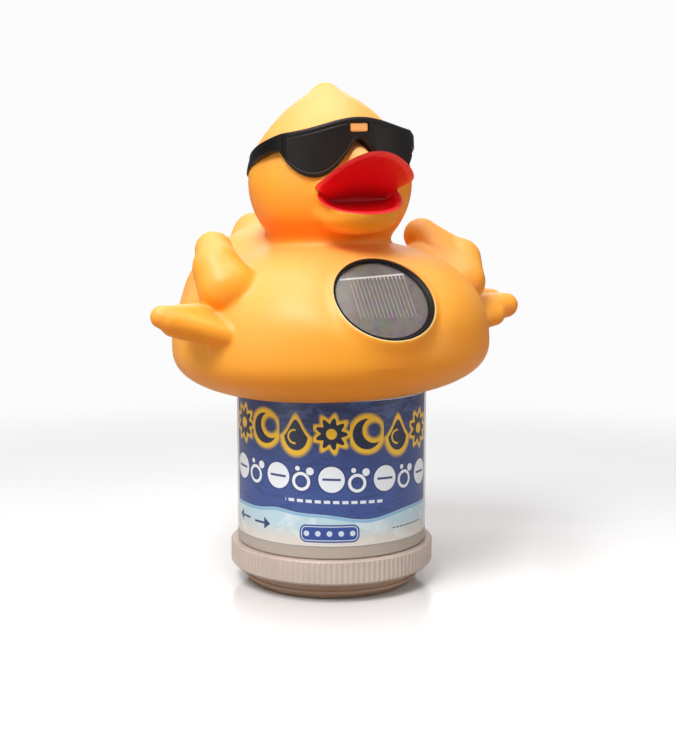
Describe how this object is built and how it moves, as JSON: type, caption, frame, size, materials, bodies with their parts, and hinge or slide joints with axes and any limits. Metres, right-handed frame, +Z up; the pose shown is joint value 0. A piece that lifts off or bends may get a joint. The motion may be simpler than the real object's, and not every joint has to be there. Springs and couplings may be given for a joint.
{
  "type": "floating pool chlorine dispenser",
  "caption": "Duck-shaped vinyl float with sunglasses and a solar night light, over a screw-in tablet canister with a turning flow collar.",
  "frame": {"origin": "centre of the foot's flat underside, on the canister axis", "axes": "+Z up along the canister axis, -Y the way the duck's beak and solar disc look, +X the duck's left"},
  "size_m": [0.2126, 0.1673, 0.2506],
  "materials": {
    "float_shell": "satin yellow vinyl",
    "beak": "satin red",
    "sunglasses": "gloss black",
    "socket_cup": "white moulded",
    "solar_housing": "black moulded",
    "seal_ring": "black rubber",
    "solar_cell": "grey-brown thin film",
    "cell_grid": "silver print",
    "cell_cover": "clear",
    "circuit_board": "green solder mask",
    "leds": "water clear",
    "battery": "sleeved cell",
    "battery_clips": "plated spring steel",
    "lead_wires": "insulated wire",
    "switch_body": "black",
    "switch_knob": "white",
    "cover_gasket": "black rubber",
    "back_cover": "translucent white",
    "cover_screws": "stainless",
    "canister": "white moulded",
    "label": "printed film, blue over pale aqua",
    "neck_gasket": "black rubber",
    "flow_collar": "off-white, finely ribbed",
    "base_foot": "warm grey-white",
    "screw_washer": "black rubber",
    "centre_screw": "stainless"
  },
  "bodies": {
    "float": {"float_shell": "float_shell", "beak": "beak", "sunglasses": "sunglasses", "socket_cup": "socket_cup", "solar_housing": "solar_housing", "seal_ring": "seal_ring", "solar_cell": "solar_cell", "cell_grid": "cell_grid", "cell_cover": "cell_cover", "circuit_board": "circuit_board", "leds": "leds", "battery": "battery", "battery_clips": "battery_clips", "lead_wires": "lead_wires", "switch_body": "switch_body", "cover_gasket": "cover_gasket", "back_cover": "back_cover", "cover_screws": "cover_screws"},
    "switch": {"switch_knob": "switch_knob"},
    "neck_seal": {"neck_gasket": "neck_gasket"},
    "canister": {"canister": "canister", "label": "label", "base_foot": "base_foot", "screw_washer": "screw_washer", "centre_screw": "centre_screw"},
    "collar": {"flow_collar": "flow_collar"}
  },
  "joints": [
    {"name": "switch_slide", "type": "slide", "parent": "float", "child": "switch", "axis": [1, 0, 0], "range_m": [0, 0.003]},
    {"name": "canister_drop", "type": "slide", "parent": "float", "child": "neck_seal", "axis": [0, 0, -1], "range_m": [0, 0.01801]},
    {"name": "canister_unscrew", "type": "hinge", "parent": "neck_seal", "child": "canister", "pos_m": [0, 0, 0.11], "axis": [0, 0, -1], "range_deg": [0, 360]},
    {"name": "collar_turn", "type": "hinge", "parent": "canister", "child": "collar", "pos_m": [0, 0, 0.015], "axis": [0, 0, 1], "range_deg": [0, 22.5]}
  ],
  "couplings": [
    {"joint": "canister_drop", "follows": "canister_unscrew", "m_per_rad": 0.0028648}
  ]
}
